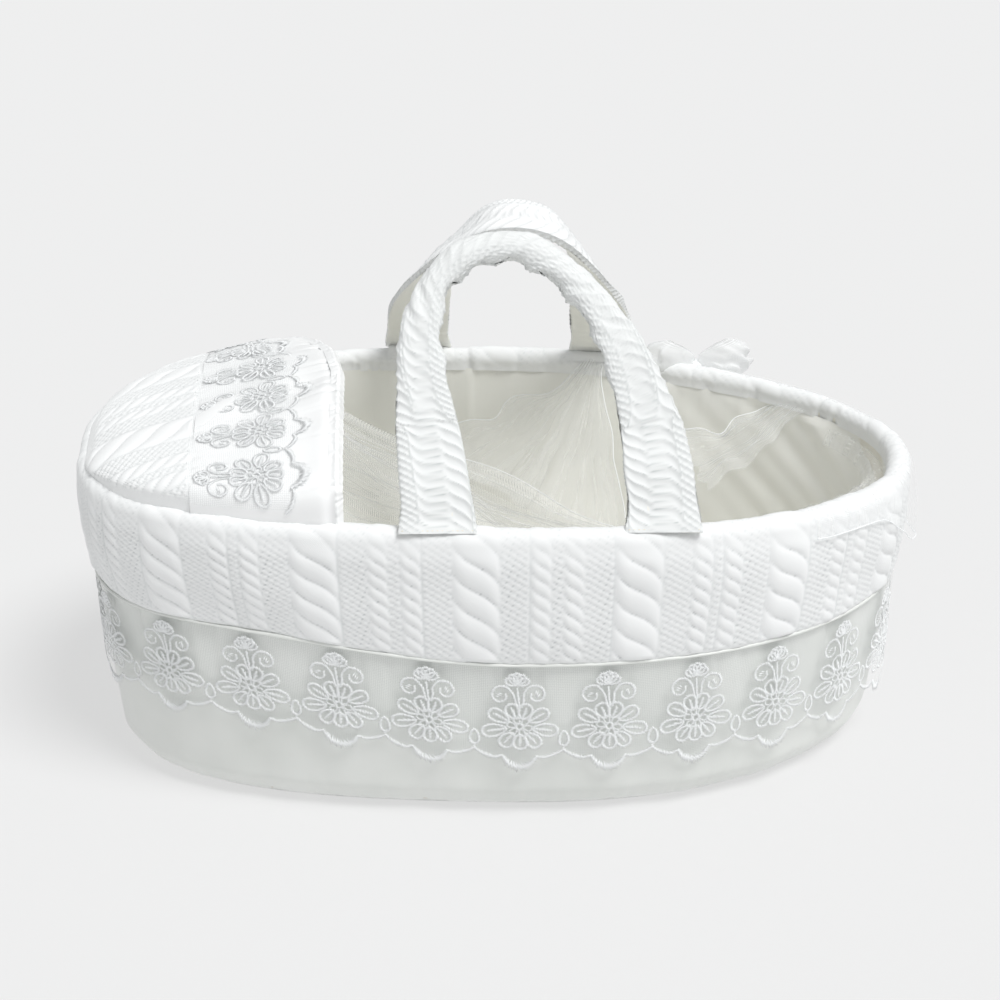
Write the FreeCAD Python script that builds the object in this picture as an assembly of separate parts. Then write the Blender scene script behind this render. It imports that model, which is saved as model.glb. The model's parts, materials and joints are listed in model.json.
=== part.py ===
import FreeCAD, Part
import math
import os

# Moses basket: a stiff foam tub in fabric, with a foot hood, a tulle veil and two swinging strap handles.
# Millimetres, +Z up, +X along the tub to the open end, the hood at -X, the near side at -Y.
Vec = FreeCAD.Vector

# ---- driving dimensions ----
# Outer wall of the tub: height, half length, half width. The lowest rows make the rounded bottom edge.
WALL_ROWS = [(0, 326, 170), (8, 344, 184), (26, 356, 194), (160, 368, 201), (264, 377, 208)]
BLUNT_END = 2.6            # superellipse power of the hood end
OPEN_END = 2.05            # superellipse power of the open end
SKEW = 0.08                # how far the long sides lean in plan: the tub is soft and stands a little askew
OUTLINE_POINTS = 60        # facets round the tub

BOTTOM_THICK = 3
BOARD_TOP = 9
SEAM_Z = 160               # where the quilted band meets the satin skirt
WALL_TOP = 264             # the rim roll sits on the wall here
CREST_Z = 288
RIM_MIDDLE = 10            # the crest line, from the wall's outer surface
SEAM_LIFT = 24             # the seam climbs this much towards the hood end
SEAM_LIFT_FROM = 78        # nothing below this height is lifted
RIM_DROP = 24              # the rim sinks this much towards the open end
BAND_IN = 6                # inner face of the band and of the skirt, from the outer surface
SKIRT_OUT = 3
CORE_IN = 16
LINING_IN = 18.5
FLOOR_THICK = 2
PIPING_HIGH = 4
PIPING_OUT = -1.5
LACE_OUT = 1.6
LACE_THICK = 1.2
LACE_BOTTOM = 64

# Rim roll in section, outside to inside: height, distance in from the wall's outer surface
RIM_OVER = [(WALL_TOP, 0), (276, 0.5), (284, 4), (CREST_Z, 8.5),
            (CREST_Z, 11.5), (284, 16), (276, 19.5), (WALL_TOP, 20)]
RIM_FILL = [(WALL_TOP, 3), (275, 3.5), (280, 7), (280, 13), (275, 16.5), (WALL_TOP, 17)]
WIRE_GROOVE = [(WALL_TOP, 8), (268, 8), (268, 12), (WALL_TOP, 12)]

MATTRESS_GAP = 4
MATTRESS_THICK = 32
TICKING = 1.5              # thickness of the mattress cover

HOOD_MOUTH_X = -142
HOOD_STATIONS = [-366, -358, -340, -310, -268, -225, -185, HOOD_MOUTH_X]
HOOD_SATIN_X = -268        # knit panel to the left, satin band to the right
HOOD_INSET = 8
HOOD_FACETS = 16
HOOD_LOW = 16
HOOD_RISE = 46
# How round a section is: a small power is boxy. It goes from full on the near side to slumped on the far side
HOOD_FULL = 0.78
HOOD_SLUMP = 0.26
# The mouth in plan, x and y
HOOD_MOUTH_LINE = [(-141, -260), (-141, 0), (-148, 60), (-163, 110), (-184, 160), (-205, 260)]
# Depths of the hood's surfaces: top of the lace, outer skin, wadding, lining, hollow
HOOD_DEPTHS = (-1, 0, 2.5, 8.5, 10)
HOOD_LACE_X = (-266, -190)
ELASTIC_WIDE = 7

VEIL_THICK = 2.5
VEIL_LINE = [(-205, 276), (-90, 268), (-20, 252), (60, 232), (120, 223)]
VEIL_IN = 21

STRAP_WIDE = 62
STRAP_THICK = 12
WEB_WIDE = 26
TAB_LONG = 15
TAB_LIFT = 0.1             # under the tab, over the crest
TAB_HIGH = 2.1
STITCH_HIGH = 0.8
TAB_THICK = TAB_LIFT + TAB_HIGH + STITCH_HIGH
PIVOT_GAP = 1.8            # air between a strap's rounded end and its tab
STRAP_STATIONS = 12
# Two feet along X, rise from pivot to top, inward lean and mid-strap twist in degrees, size of the grip,
# how far the top and the left shoulder lie to the left of a plain arch
NEAR = dict(name="near", side=-1, feet=(-62, 126), rise=226, lean=31, grip=(34, 28), twist=0,
            apex=-34, shoulder=22)
FAR = dict(name="far", side=1, feet=(-68, 113), rise=218, lean=37, grip=(56, 12), twist=62,
           apex=12, shoulder=0)

BOW_X = 192
PUFF_RINGS = 7
KNOT_HALF = (9, 9, 11)
LOOP_HALF = (18.5, 11, 21)
TAIL_DROP = (14, 118)      # below the knot's middle
TAIL_HALF = (6, 22)
TAIL_THICK = 2.5
BOW_OUT = 9.6              # the knot rests against the band


# ---- plan outlines and walls ----
def plan_point(angle, half_long, half_wide):
    c = math.cos(angle)
    s = math.sin(angle)
    power = BLUNT_END if c < 0 else OPEN_END
    reach = (abs(c) ** power + abs(s) ** power) ** (-1 / power)
    x = half_long * c * reach
    y = half_wide * s * reach - SKEW * x * (1 - (x / half_long) ** 2)
    return x, y


def level(x, z):
    """Real height, at x, of the line round the tub whose nominal height is z."""
    half_long = WALL_ROWS[-1][1]
    if z <= SEAM_Z:
        seam_share = max(0, (z - SEAM_LIFT_FROM) / (SEAM_Z - SEAM_LIFT_FROM))
        rim_share = 0
    else:
        seam_share = max(0, (WALL_TOP - z) / (WALL_TOP - SEAM_Z))
        rim_share = 1 - seam_share
    step = min(1, max(0, -1.4 * x / half_long))
    climb = SEAM_LIFT * step * step * (3 - 2 * step)
    drop = RIM_DROP * (max(0, x) / half_long) ** 2
    return z + climb * seam_share - drop * rim_share


def outline(half_long, half_wide, z, soft=True):
    """One closed line round the tub; a soft one follows the seam's climb and the rim's drop."""
    points = []
    for k in range(OUTLINE_POINTS):
        x, y = plan_point(2 * math.pi * k / OUTLINE_POINTS, half_long, half_wide)
        points.append(Vec(x, y, level(x, z) if soft else z))
    return Part.makePolygon(points + [points[0]])


def wall_axes(z):
    for (z0, a0, b0), (z1, a1, b1) in zip(WALL_ROWS, WALL_ROWS[1:]):
        if z <= z1:
            part = (z - z0) / (z1 - z0)
            return a0 + part * (a1 - a0), b0 + part * (b1 - b0)
    return WALL_ROWS[-1][1:]


def wall_levels(z_low, z_high):
    return [z_low] + [row[0] for row in WALL_ROWS if z_low < row[0] < z_high] + [z_high]


def wall_body(inset, z_low, z_high):
    """Everything inside the wall's surface, moved in by inset, between two flat levels."""
    wires = []
    for z in wall_levels(z_low, z_high):
        a, b = wall_axes(z)
        wires.append(outline(a - inset, b - inset, z, soft=False))
    return Part.makeLoft(wires, True, True)


def ring(section):
    """A closed band round the tub; section lists (height, inset) once round its cross-section."""
    wires = []
    for z, inset in section:
        a, b = wall_axes(z)
        wires.append(outline(a - inset, b - inset, z))
    return Part.makeLoft(wires, True, True, True)


def wall_shell(outer_inset, inner_inset, z_low, z_high):
    levels = wall_levels(z_low, z_high)
    outer = [(z, outer_inset) for z in levels]
    inner = [(z, inner_inset) for z in reversed(levels)]
    return ring(outer + inner)


def box(low, high):
    return Part.makeBox(high[0] - low[0], high[1] - low[1], high[2] - low[2], Vec(*low))


def rim_y(x, side, inset):
    """Y of the wall's top outline at x, on one long side."""
    a, b = wall_axes(WALL_TOP)
    a -= inset
    b -= inset
    power = BLUNT_END if x < 0 else OPEN_END
    return side * b * (1 - abs(x / a) ** power) ** (1 / power) - SKEW * x * (1 - (x / a) ** 2)


def crest_point(x, side, inset):
    return Vec(x, rim_y(x, side, inset), level(x, CREST_Z))


# ---- the tub ----
def tub():
    pieces = {}
    pieces["bottom_cover"] = wall_body(SKIRT_OUT, 0, BOTTOM_THICK)
    pieces["base_board"] = wall_body(BAND_IN, BOTTOM_THICK, BOARD_TOP)
    pieces["wall_foam"] = wall_shell(BAND_IN, CORE_IN, BOARD_TOP, WALL_TOP)
    pieces["satin_skirt"] = wall_shell(SKIRT_OUT, BAND_IN, BOTTOM_THICK, SEAM_Z)
    pieces["quilt_band"] = wall_shell(0, BAND_IN, SEAM_Z, WALL_TOP)
    pieces["seam_piping"] = wall_shell(PIPING_OUT, SKIRT_OUT, SEAM_Z - PIPING_HIGH, SEAM_Z)
    pieces["lace_trim"] = wall_shell(LACE_OUT, LACE_OUT + LACE_THICK, LACE_BOTTOM, SEAM_Z - PIPING_HIGH)
    pieces["lining_wall"] = wall_shell(CORE_IN, LINING_IN, BOARD_TOP, WALL_TOP)
    floor_top = BOARD_TOP + FLOOR_THICK
    pieces["lining_floor"] = wall_body(LINING_IN, BOARD_TOP, floor_top)
    pieces["rim_wire"] = ring(WIRE_GROOVE)
    pieces["rim_foam"] = ring(RIM_FILL + WIRE_GROOVE[::-1])
    pieces["rim_cover"] = ring(RIM_OVER + RIM_FILL[::-1])
    pieces.update(mattress(floor_top))
    return pieces


def mattress(z):
    top = z + MATTRESS_THICK
    whole = wall_body(LINING_IN + MATTRESS_GAP, z, top)
    filling = wall_body(LINING_IN + MATTRESS_GAP + TICKING, z, top - TICKING)
    return {"mattress_foam": filling, "mattress_cover": whole.cut(filling)}


# ---- the hood over the foot end ----
def hood_body(depth):
    wires = []
    first = HOOD_STATIONS[0]
    span = HOOD_MOUTH_X - first
    for x in HOOD_STATIONS:
        inside = x + depth * (HOOD_MOUTH_X - x) / span
        high = HOOD_LOW + HOOD_RISE * ((x - first) / span) ** 0.85 - depth
        near = rim_y(x, -1, HOOD_INSET) + depth
        far = rim_y(x, 1, HOOD_INSET) - depth
        middle = (near + far) / 2
        half = (far - near) / 2
        points = []
        for k in range(HOOD_FACETS + 1):
            turn = math.pi * k / HOOD_FACETS
            fullness = HOOD_FULL + HOOD_SLUMP * math.cos(turn)
            lift = abs(math.sin(turn)) ** fullness
            points.append(Vec(inside, middle + half * math.cos(turn), CREST_Z + high * lift))
        wires.append(Part.makePolygon(points + [points[0]]))
    return Part.makeLoft(wires, True, True)


def slab(x_low, x_high, z_low):
    """A block across the whole hood between two places along the tub."""
    reach = 260
    return box((x_low, -reach, z_low), (x_high, reach, CREST_Z + 200))


def past_mouth(inset):
    """Everything on the open side of the hood's mouth, which falls back towards the far side."""
    line = [Vec(x - inset, y, 0) for x, y in HOOD_MOUTH_LINE]
    corners = line + [Vec(0, line[-1].y, 0), Vec(0, line[0].y, 0)]
    block = Part.Face(Part.makePolygon(corners + [corners[0]])).extrude(Vec(0, 0, 300))
    block.translate(Vec(0, 0, CREST_Z - 60))
    return block


def hood():
    surface = {depth: hood_body(depth) for depth in HOOD_DEPTHS}
    lace_top, outer, wadding_top, lining_top, inside = [surface[depth] for depth in HOOD_DEPTHS]
    skin = outer.cut(wadding_top)
    cloth = skin.cut(past_mouth(ELASTIC_WIDE))
    open_side = past_mouth(0)
    return {
        "hood_lining": lining_top.cut(inside).cut(open_side),
        "hood_wadding": wadding_top.cut(lining_top).cut(open_side),
        "hood_knit_panel": cloth.common(slab(HOOD_STATIONS[0] - 20, HOOD_SATIN_X, 0)),
        "hood_satin_band": cloth.common(slab(HOOD_SATIN_X, HOOD_MOUTH_X, 0)),
        "hood_elastic": skin.cut(cloth).cut(open_side),
        "hood_lace": lace_top.cut(outer).common(slab(*HOOD_LACE_X, CREST_Z + 6)),
    }


# ---- the tulle veil ----
def veil():
    run = [Vec(x, -260, z) for x, z in VEIL_LINE]
    back = [Vec(x, -260, z - VEIL_THICK) for x, z in reversed(VEIL_LINE)]
    sheet = Part.Face(Part.makePolygon(run + back + [run[0]])).extrude(Vec(0, 520, 0))
    swag_zone = box((150, -260, 0), (400, -20, 330))
    drape_zone = box((262, -170, 0), (460, 150, 330))
    return {
        "veil_panel": sheet.common(wall_body(VEIL_IN, 60, CREST_Z)),
        "veil_inner_swag": wall_shell(VEIL_IN, VEIL_IN + 3, 223, WALL_TOP).common(swag_zone),
        "veil_end_drape": wall_shell(-9, -6, 200, WALL_TOP).common(drape_zone),
    }


def puff(center, half_sizes):
    """A faceted egg, drawn as eight-sided rings set along X."""
    rings = []
    for k in range(PUFF_RINGS):
        along = 2 * k / (PUFF_RINGS - 1) - 1
        size = max(0.3, math.sqrt(1 - along * along))
        points = []
        for corner in range(8):
            turn = math.pi * (corner + 0.5) / 4
            y = half_sizes[1] * size * math.cos(turn)
            z = half_sizes[2] * size * math.sin(turn)
            points.append(Vec(*center) + Vec(half_sizes[0] * along, y, z))
        rings.append(Part.makePolygon(points + [points[0]]))
    return Part.makeLoft(rings, True, True)


def bow():
    y = rim_y(BOW_X, 1, 0) + BOW_OUT
    z = CREST_Z + 2
    knot = puff((BOW_X, y, z), KNOT_HALF)
    away = KNOT_HALF[0] + LOOP_HALF[0] + 0.2
    loops = [puff((BOW_X + side * away, y + 3, z + 12), LOOP_HALF) for side in (-1, 1)]
    tails = []
    for side in (-1, 1):
        top = Vec(BOW_X + side * 4, y - 1, z - TAIL_DROP[0])
        foot = Vec(BOW_X + side * 24, y - 1, z - TAIL_DROP[1])
        wide_top = Vec(TAIL_HALF[0], 0, 0)
        wide_foot = Vec(TAIL_HALF[1], 0, 0)
        corners = [top - wide_top, top + wide_top, foot + wide_foot, foot - wide_foot]
        tails.append(Part.Face(Part.makePolygon(corners + [corners[0]])).extrude(Vec(0, TAIL_THICK, 0)))
    tail_pair = [tails[0].cut(tails[1]), tails[1]]
    return {
        "bow_knot": knot,
        "bow_loops": Part.makeCompound(loops),
        "bow_tails": Part.makeCompound(tail_pair),
    }


# ---- the handles ----
def pivot_frame(handle):
    """Pivot point midway between the feet, unit vectors along the pivot, up the strap and outward."""
    left, right = [crest_point(x, handle["side"], RIM_MIDDLE) for x in handle["feet"]]
    along = (right - left).normalize()
    outward = Vec(0, 0, 1).cross(along).normalize() * handle["side"]
    upright = Vec(0, 0, 1) - along * along.z
    upright.normalize()
    middle = (left + right) * 0.5 + upright * (TAB_THICK + PIVOT_GAP + STRAP_THICK / 2)
    lean = math.radians(handle["lean"])
    up = upright * math.cos(lean) - outward * math.sin(lean)
    out = outward * math.cos(lean) + upright * math.sin(lean)
    return middle, along, up, out


def arch_centers(handle):
    """Points along the middle of the strap, from one foot over the top to the other."""
    middle, along, up, _ = pivot_frame(handle)
    left, right = handle["feet"]
    half = (right - left) / 2
    centers = []
    for k in range(STRAP_STATIONS + 1):
        turn = math.pi * k / STRAP_STATIONS
        high = math.sin(turn) ** 0.8 if 0 < k < STRAP_STATIONS else 0
        slide = -half * math.cos(turn) * (1 - 0.1 * high) + handle["apex"] * high * high
        slide -= handle["shoulder"] * max(0, math.sin(2 * turn))
        centers.append((middle + along * slide + up * (handle["rise"] * high), high))
    return centers


def strap_layer(handle, low, high, width_share=1.0):
    """One layer of the strap; low and high are fractions of its thickness, counted from its middle."""
    _, _, up, out = pivot_frame(handle)
    centers = arch_centers(handle)
    last = len(centers) - 1
    rings = []
    for k, (center, rise) in enumerate(centers):
        run = (centers[min(k + 1, last)][0] - centers[max(k - 1, 0)][0]).normalize()
        if k in (0, last):
            run = up if k == 0 else up * -1
        across = out.cross(run).normalize()
        share = min(1, max(0, rise - 0.35) / 0.5)
        twist = math.radians(handle["twist"]) * share
        width_dir = across * math.cos(twist) + out * math.sin(twist)
        face_dir = out * math.cos(twist) - across * math.sin(twist)
        grip_wide, grip_thick = handle["grip"]
        wide = STRAP_WIDE + (grip_wide - STRAP_WIDE) * share
        thick = STRAP_THICK + (grip_thick - STRAP_THICK) * share
        w = width_dir * (wide * width_share / 2)
        a = face_dir * (thick * low)
        b = face_dir * (thick * high)
        corners = [center - w + a, center + w + a, center + w + b, center - w + b]
        rings.append(Part.makePolygon(corners + [corners[0]]))
    return Part.makeLoft(rings, True, True)


def strip_on_rim(x, side, size, offset, rise):
    """A small block lying on the rim's crest at x, turned and tilted with the rim."""
    foot = crest_point(x, side, RIM_MIDDLE)
    along = (crest_point(x + 1, side, RIM_MIDDLE) - crest_point(x - 1, side, RIM_MIDDLE)).normalize()
    upright = (Vec(0, 0, 1) - along * along.z).normalize()
    outward = upright.cross(along) * side
    center = foot + outward * offset + upright * rise
    block = Part.makeBox(*size, Vec(-size[0] / 2, -size[1] / 2, 0))
    turn = FreeCAD.Rotation(along, outward * side, upright, "XYZ")
    block.Placement = FreeCAD.Placement(center, turn)
    return block


def handle_pieces(handle):
    name = "handle_" + handle["name"]
    side = handle["side"]
    tabs = []
    stitches = []
    for x in handle["feet"]:
        tabs.append(strip_on_rim(x, side, (STRAP_WIDE, TAB_LONG, TAB_HIGH), 0, TAB_LIFT))
        stitch_size = (STRAP_WIDE - 6, 1.2, STITCH_HIGH)
        stitches.append(strip_on_rim(x, side, stitch_size, TAB_LONG / 2 - 2, TAB_LIFT + TAB_HIGH))
    return {
        name + "_cover": strap_layer(handle, 0.1, 0.5),
        name + "_facing": strap_layer(handle, -0.5, -0.12),
        name + "_webbing": strap_layer(handle, -0.1, 0.08, WEB_WIDE / STRAP_WIDE),
        name + "_tabs": Part.makeCompound(tabs),
        name + "_stitching": Part.makeCompound(stitches),
    }


def main():
    pieces = {}
    pieces.update(tub())
    pieces.update(hood())
    pieces.update(veil())
    pieces.update(bow())
    pieces.update(handle_pieces(NEAR))
    pieces.update(handle_pieces(FAR))
    bounds = Part.makeCompound(list(pieces.values())).BoundBox
    shift = Vec(-bounds.Center.x, -bounds.Center.y, -bounds.ZMin)
    os.makedirs("parts", exist_ok=True)
    for name, shape in pieces.items():
        shape.translate(shift)
        shape.exportStep("parts/" + name + ".step")
        print(name, len(shape.Solids), shape.isValid(), round(shape.Volume / 1000, 1))
    print("shift", shift, "size", bounds)
    for handle in (NEAR, FAR):
        middle, along, _, _ = pivot_frame(handle)
        print("pivot", handle["name"], middle + shift, along)


main()
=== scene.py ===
import json
import math

import bpy
import numpy as np
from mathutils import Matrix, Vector

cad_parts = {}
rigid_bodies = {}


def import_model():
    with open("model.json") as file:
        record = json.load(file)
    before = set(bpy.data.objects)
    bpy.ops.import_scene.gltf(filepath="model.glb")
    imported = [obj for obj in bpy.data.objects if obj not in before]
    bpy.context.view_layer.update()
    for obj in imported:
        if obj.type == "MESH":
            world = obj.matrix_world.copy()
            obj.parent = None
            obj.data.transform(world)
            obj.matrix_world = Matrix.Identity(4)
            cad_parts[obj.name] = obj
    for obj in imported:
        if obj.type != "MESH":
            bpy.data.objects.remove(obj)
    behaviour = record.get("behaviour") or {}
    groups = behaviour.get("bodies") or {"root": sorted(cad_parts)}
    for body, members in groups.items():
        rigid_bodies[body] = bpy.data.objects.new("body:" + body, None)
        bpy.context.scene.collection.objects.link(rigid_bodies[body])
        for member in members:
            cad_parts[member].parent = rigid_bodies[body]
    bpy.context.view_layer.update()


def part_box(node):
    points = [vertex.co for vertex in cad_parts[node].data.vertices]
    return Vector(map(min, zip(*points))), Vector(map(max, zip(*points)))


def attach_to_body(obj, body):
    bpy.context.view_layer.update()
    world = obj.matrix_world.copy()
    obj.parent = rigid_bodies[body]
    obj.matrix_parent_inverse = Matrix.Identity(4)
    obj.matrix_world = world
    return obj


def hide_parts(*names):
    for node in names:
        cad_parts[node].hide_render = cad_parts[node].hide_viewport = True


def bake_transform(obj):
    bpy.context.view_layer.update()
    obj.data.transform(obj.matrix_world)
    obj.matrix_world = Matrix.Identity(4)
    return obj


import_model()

# The tub's own sizes are in millimetres, as a pattern cutter would give them; MM turns them to metres.
MM = 0.001
FRONT = 1.5 * math.pi          # plan angle of the middle of the near side

# ---- driving dimensions of the tub, as in the CAD model ----
WALL_Z = (0, 8, 26, 160, 264)
WALL_LONG = (326, 344, 356, 368, 377)
WALL_WIDE = (170, 184, 194, 201, 208)
BLUNT_END, OPEN_END, SKEW = 2.6, 2.05, 0.08
SEAM_Z, WALL_TOP, CREST_Z = 160, 264, 288
SEAM_LIFT, SEAM_LIFT_FROM, RIM_DROP = 24, 78, 24
RIM_WIDE = 20


# ---- the camera ----
def add_camera():
    lens, distance, tilt, turn = 82.8, 2.115, math.radians(26), math.radians(-3.4)
    target = Vector((-0.003, -0.001, 0.218))
    back = Vector((math.sin(turn) * math.cos(tilt), -math.cos(turn) * math.cos(tilt), math.sin(tilt)))
    camera = bpy.data.objects.new("camera", bpy.data.cameras.new("camera"))
    camera.data.lens = lens
    camera.data.sensor_width = 36
    camera.data.clip_end = 50
    camera.location = target + back * distance
    camera.rotation_euler = (-back).to_track_quat("-Z", "Y").to_euler()
    bpy.context.scene.collection.objects.link(camera)
    bpy.context.scene.camera = camera


# ---- numbers: smooth noise and rounding ----
def ripples(a, b, seed, sizes, stretch=1.0, count=9):
    """Smooth, seeded, roughly -1 to 1 unevenness over two lengths; sizes is its range of wavelengths."""
    draw = np.random.default_rng(seed)
    total = np.zeros(np.broadcast(a, b).shape)
    for _ in range(count):
        size = draw.uniform(*sizes)
        angle = draw.uniform(0, 2 * math.pi)
        shift = draw.uniform(0, 2 * math.pi)
        total += np.sin(2 * math.pi * (a * math.cos(angle) + b * math.sin(angle) / stretch) / size + shift)
    return total / math.sqrt(count) / 1.4


def smooth_step(value, low, high):
    t = np.clip((value - low) / (high - low), 0, 1)
    return t * t * (3 - 2 * t)


def unit(vector):
    return vector / np.linalg.norm(vector, axis=-1, keepdims=True)


def run_length(points):
    """Length along a line of points, from 0 at its start."""
    return np.concatenate([[0], np.cumsum(np.linalg.norm(np.diff(points, axis=0), axis=1))])


def gathers(s, length, seed, count, widths, depth=1.0):
    """Puckers at uneven places along a seam: narrow hollows, 0 to -1, wrapped round the seam's length."""
    draw = np.random.default_rng(seed)
    total = np.zeros_like(s)
    for place in draw.uniform(-length / 2, length / 2, count):
        away = (s - place + length / 2) % length - length / 2
        total -= draw.uniform(0.3, 1) * depth * np.exp(-(away / draw.uniform(*widths)) ** 2)
    return total


# ---- the tub's shape ----
FINE_Z = np.arange(-20, 301, 2.0)
ROUNDING = np.exp(-np.arange(-4, 5) ** 2 / 5.0)
ROUNDING /= ROUNDING.sum()


def rounded(values):
    rough = np.interp(np.clip(FINE_Z, 0, WALL_TOP), WALL_Z, values)
    return np.convolve(np.pad(rough, 4, "edge"), ROUNDING, "valid")


FINE_LONG, FINE_WIDE = rounded(WALL_LONG), rounded(WALL_WIDE)


def plan(turn, half_long, half_wide):
    c, s = np.cos(turn), np.sin(turn)
    power = np.where(c < 0, BLUNT_END, OPEN_END)
    reach = (np.abs(c) ** power + np.abs(s) ** power) ** (-1 / power)
    x = half_long * c * reach
    return x, half_wide * s * reach - SKEW * x * (1 - (x / half_long) ** 2)


def level(x, z):
    """Real height, at x, of the line round the tub whose nominal height is z."""
    seam_share = np.where(z <= SEAM_Z, np.maximum(0, (z - SEAM_LIFT_FROM) / (SEAM_Z - SEAM_LIFT_FROM)),
                          np.maximum(0, (WALL_TOP - z) / (WALL_TOP - SEAM_Z)))
    rim_share = np.where(z <= SEAM_Z, 0, 1 - seam_share)
    climb = SEAM_LIFT * smooth_step(-1.4 * x / WALL_LONG[-1], 0, 1)
    drop = RIM_DROP * (np.maximum(0, x) / WALL_LONG[-1]) ** 2
    return z + climb * seam_share - drop * rim_share


TURNS = np.linspace(0, 2 * math.pi, 7201)
SEAM_X, SEAM_Y = plan(TURNS, 368, 201)
ALONG = np.concatenate([[0], np.cumsum(np.hypot(np.diff(SEAM_X), np.diff(SEAM_Y)))])
PERIMETER = ALONG[-1]
ALONG_FRONT = np.interp(FRONT, TURNS, ALONG)


def turn_at(s):
    """Plan angle at s millimetres round the seam from the middle of the near side."""
    return np.interp((s + ALONG_FRONT) % PERIMETER, ALONG, TURNS)


def round_tub(cols):
    """Even steps once round the seam, as a row."""
    return (np.arange(cols) / cols * PERIMETER - PERIMETER / 2)[None, :]


def wall(s, z, out=0.0):
    """Points on the tub's wall, out millimetres outside its surface."""
    s, z, out = np.broadcast_arrays(s, z, out)
    x, y = plan(turn_at(s), np.interp(z, FINE_Z, FINE_LONG) + out, np.interp(z, FINE_Z, FINE_WIDE) + out)
    return np.stack([x, y, level(x, z)], -1)


def frame_shift():
    """Where the tub's own middle lies in the model's frame, in metres."""
    low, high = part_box("rim_wire")
    x, y = plan(TURNS, WALL_LONG[-1] - 8, WALL_WIDE[-1] - 8)
    middle_x = (low.x + high.x) / 2 - (x.min() + x.max()) / 2 * MM
    middle_y = (low.y + high.y) / 2 - (y.min() + y.max()) / 2 * MM
    return np.array([middle_x, middle_y, 0])


SHIFT = frame_shift()


# ---- meshes ----
def grid_faces(rows, cols, wrap, flip):
    across = cols if wrap else cols - 1
    r, c = np.meshgrid(np.arange(rows - 1), np.arange(across), indexing="ij")
    after = (c + 1) % cols
    quads = np.stack([r * cols + c, r * cols + after, (r + 1) * cols + after, (r + 1) * cols + c], -1)
    steps = np.stack([r * (cols + 1) + c, r * (cols + 1) + c + 1,
                      (r + 1) * (cols + 1) + c + 1, (r + 1) * (cols + 1) + c], -1)
    quads, steps = quads.reshape(-1, 4), steps.reshape(-1, 4)
    return (quads[:, ::-1], steps[:, ::-1]) if flip else (quads, steps)


def mesh_piece(name, points, faces, material, cloth=None, hollow=None):
    """A mesh object from points in millimetres in the tub's frame. cloth gives each corner's place on the
    fabric, hollow how deep each point lies in a groove, 0 to 1; the knit material paints the grooves darker
    by it, as painted shade."""
    mesh = bpy.data.meshes.new(name)
    faces = np.asarray(faces)
    mesh.vertices.add(len(points))
    mesh.vertices.foreach_set("co", (points * MM + SHIFT).astype(np.float32).ravel())
    mesh.loops.add(faces.size)
    mesh.loops.foreach_set("vertex_index", faces.astype(np.int32).ravel())
    mesh.polygons.add(len(faces))
    mesh.polygons.foreach_set("loop_start", np.arange(0, faces.size, faces.shape[1], dtype=np.int32))
    mesh.update(calc_edges=True)
    mesh.validate()
    mesh.polygons.foreach_set("use_smooth", np.ones(len(mesh.polygons), bool))
    if cloth is not None:
        layer = mesh.uv_layers.new(name="cloth")
        layer.data.foreach_set("uv", cloth.astype(np.float32).ravel())
    if hollow is not None:
        layer = mesh.attributes.new("hollow", "FLOAT", "POINT")
        layer.data.foreach_set("value", hollow.astype(np.float32).ravel())
    mesh.materials.append(material)
    piece = bpy.data.objects.new(name, mesh)
    bpy.context.scene.collection.objects.link(piece)
    return piece


def sheet_piece(name, points, material, along, up, wrap=False, flip=False, hollow=None):
    """A grid of points (rows, columns, 3) as a piece; along and up are the fabric's own lengths."""
    rows, cols = points.shape[:2]
    quads, steps = grid_faces(rows, cols, wrap, flip)
    along, up = np.broadcast_arrays(along, up)
    if wrap:
        along = np.concatenate([along, along[:, :1] + PERIMETER], 1)
        up = np.concatenate([up, up[:, :1]], 1)
        lookup = steps
    else:
        lookup = quads
    cloth = np.stack([along.ravel()[lookup], up.ravel()[lookup]], -1) * MM
    return mesh_piece(name, points.reshape(-1, 3), quads, material, cloth, hollow)


def grid_normals(points, wrap=False):
    if wrap:
        across = np.roll(points, -1, 1) - np.roll(points, 1, 1)
    else:
        across = np.gradient(points, axis=1)
    normal = np.cross(across, np.gradient(points, axis=0))
    return normal / np.maximum(np.linalg.norm(normal, axis=-1, keepdims=True), 1e-9)


def attach(piece, slot, *nodes):
    """Sews a piece to the tub and hides the CAD nodes it replaces; slot is not used."""
    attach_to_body(piece, "basket")
    if nodes:
        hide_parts(*nodes)


def pad(piece, fill, slot, *nodes):
    """Attaches a piece of the tub and hides what it replaces; fill is not used."""
    attach(piece, slot, *nodes)


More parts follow.
